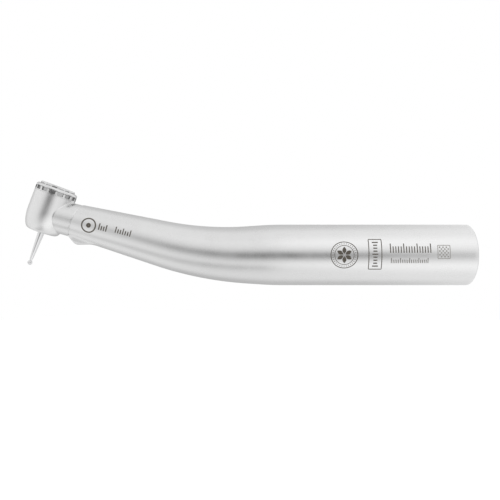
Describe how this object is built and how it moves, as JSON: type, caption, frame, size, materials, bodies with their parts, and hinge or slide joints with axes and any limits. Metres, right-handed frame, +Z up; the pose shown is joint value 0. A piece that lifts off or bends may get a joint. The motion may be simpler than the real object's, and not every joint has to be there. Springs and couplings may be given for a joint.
{
  "type": "high speed dental handpiece",
  "caption": "Slim bent steel air-turbine handpiece with a tilted push-button head, round bur, light under the neck and open rear coupler socket.",
  "frame": {"origin": "centre of the rear face, on the handle's axis, where the coupler goes in", "axes": "+X out of the rear along the straight part of the handle; +Z up, to the head's push-button side, away from the bur; XZ is the plane of symmetry"},
  "size_m": [0.1171, 0.0162, 0.0278],
  "materials": {
    "satin_steel": "fine satin, micro-blasted",
    "cap_steel": "brighter fine-turned",
    "inner_steel": "turned",
    "impeller_alloy": "machined",
    "bearing_steel": "polished",
    "ball_ceramic": "polished silicon nitride",
    "cage_resin": "brown phenolic resin",
    "seal_rubber": "matte",
    "gasket_silicone": "matte",
    "spring_steel": "bright drawn",
    "carbide": "ground",
    "clear_glass": "clear, polished",
    "led": "phosphor yellow",
    "wire_red": "enamel",
    "wire_black": "enamel",
    "brass": "turned",
    "copper_winding": "enamelled copper wire",
    "magnet": "nickel-plated sintered magnet"
  },
  "bodies": {
    "handpiece": {"head_housing": "satin_steel", "spray_nozzle": "cap_steel", "back_cap": "cap_steel", "cap_retaining_ring": "cap_steel", "lower_outer_race": "bearing_steel", "upper_outer_race": "bearing_steel", "lower_o_ring": "seal_rubber", "upper_o_ring": "seal_rubber", "preload_washer": "spring_steel", "handle_shell": "satin_steel", "light_window": "clear_glass", "led_module": "led", "led_wire_left": "wire_red", "led_wire_right": "wire_black", "drive_air_tube": "inner_steel", "chip_air_tube": "inner_steel", "water_tube": "inner_steel", "manifold": "brass", "manifold_gasket": "gasket_silicone", "water_check_valve": "seal_rubber", "socket_sleeve": "inner_steel", "generator_housing": "inner_steel", "generator_end_cap": "brass", "generator_coil": "copper_winding", "generator_front_bushing": "brass", "generator_rear_bushing": "brass"},
    "turbine_rotor": {"spindle": "inner_steel", "turbine_impeller": "impeller_alloy", "lower_inner_race": "bearing_steel", "upper_inner_race": "bearing_steel", "chuck_collet": "spring_steel"},
    "bur": {"bur": "carbide"},
    "chuck_pusher": {"chuck_pusher": "spring_steel"},
    "push_button": {"push_button": "satin_steel", "button_spring": "spring_steel"},
    "lower_cage": {"lower_cage": "cage_resin", "lower_ball_1": "ball_ceramic", "lower_ball_2": "ball_ceramic", "lower_ball_3": "ball_ceramic", "lower_ball_4": "ball_ceramic", "lower_ball_5": "ball_ceramic", "lower_ball_6": "ball_ceramic", "lower_ball_7": "ball_ceramic"},
    "upper_cage": {"upper_cage": "cage_resin", "upper_ball_1": "ball_ceramic", "upper_ball_2": "ball_ceramic", "upper_ball_3": "ball_ceramic", "upper_ball_4": "ball_ceramic", "upper_ball_5": "ball_ceramic", "upper_ball_6": "ball_ceramic", "upper_ball_7": "ball_ceramic"},
    "generator_rotor": {"generator_magnet": "magnet", "generator_shaft": "inner_steel", "generator_impeller": "impeller_alloy"}
  },
  "joints": [
    {"name": "turbine_spin", "type": "hinge", "parent": "handpiece", "child": "turbine_rotor", "pos_m": [-0.11124, 0, 0.01135], "axis": [0.3535, 0, 0.9354], "continuous": true},
    {"name": "lower_cage_orbit", "type": "hinge", "parent": "handpiece", "child": "lower_cage", "pos_m": [-0.11225, 0, 0.00868], "axis": [0.3535, 0, 0.9354], "continuous": true},
    {"name": "upper_cage_orbit", "type": "hinge", "parent": "handpiece", "child": "upper_cage", "pos_m": [-0.1102, 0, 0.0141], "axis": [0.3535, 0, 0.9354], "continuous": true},
    {"name": "bur_pull", "type": "slide", "parent": "turbine_rotor", "child": "bur", "axis": [-0.3535, 0, -0.9354], "range_m": [0, 0.012]},
    {"name": "button_press", "type": "slide", "parent": "handpiece", "child": "push_button", "axis": [-0.3535, 0, -0.9354], "range_m": [0, 0.0006], "stiffness_N_per_m": 3000, "deforming": ["button_spring"]},
    {"name": "chuck_push", "type": "slide", "parent": "turbine_rotor", "child": "chuck_pusher", "axis": [-0.3535, 0, -0.9354], "range_m": [0, 0.00033]},
    {"name": "generator_spin", "type": "hinge", "parent": "handpiece", "child": "generator_rotor", "pos_m": [-0.039, 0, -0.002], "axis": [1, 0, 0], "continuous": true}
  ],
  "couplings": [
    {"joint": "lower_cage_orbit", "follows": "turbine_spin", "ratio": 0.3979},
    {"joint": "upper_cage_orbit", "follows": "turbine_spin", "ratio": 0.3979},
    {"joint": "chuck_push", "follows": "button_press", "ratio": 0.55}
  ]
}
